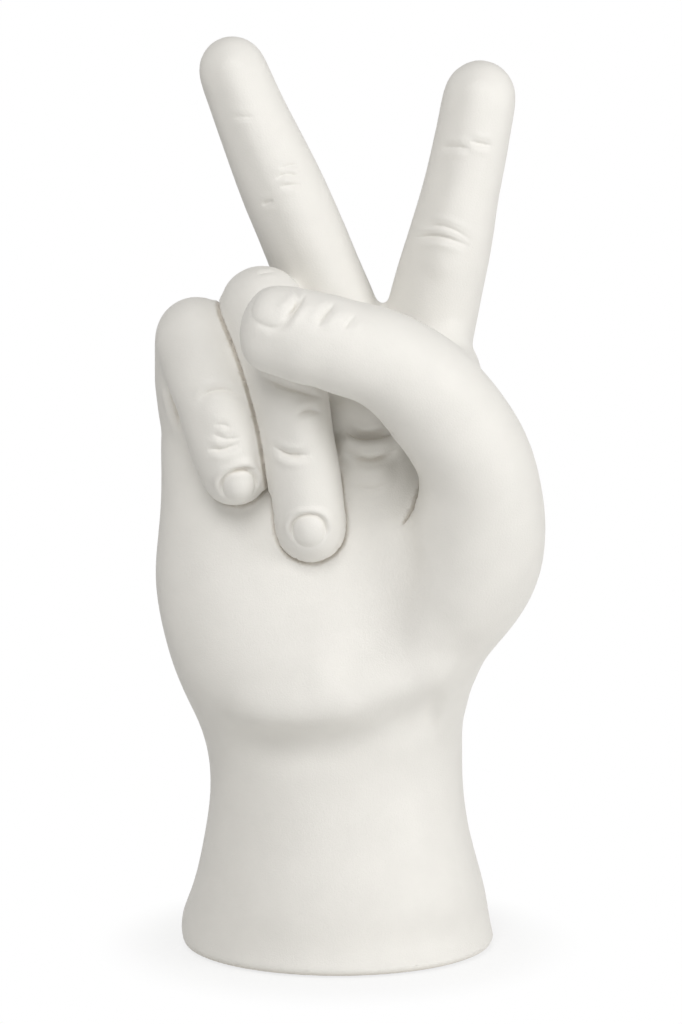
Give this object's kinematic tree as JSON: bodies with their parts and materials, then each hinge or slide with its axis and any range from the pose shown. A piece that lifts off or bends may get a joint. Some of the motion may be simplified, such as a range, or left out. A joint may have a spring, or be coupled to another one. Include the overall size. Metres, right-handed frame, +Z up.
{
  "type": "hand sculpture",
  "caption": "White ceramic hand making the V sign, with raised fingers, folded fingers held by the thumb, and a flared wrist on a felt base.",
  "frame": {"origin": "middle of the felt base's underside, on the surface that the sculpture rests on", "axes": "+Z up along the raised fingers, -Y the way the palm faces, +X the thumb's side"},
  "size_m": [0.1055, 0.096, 0.2509],
  "materials": {
    "ceramic": "matt white, very fine grain, unglazed",
    "felt": "pressed wool felt, dark grey"
  },
  "bodies": {
    "root": {"wrist_and_palm": "ceramic", "index_finger": "ceramic", "middle_finger": "ceramic", "ring_finger": "ceramic", "little_finger": "ceramic", "thumb": "ceramic", "foot_plate": "ceramic", "felt_base": "felt"}
  },
  "joints": []
}
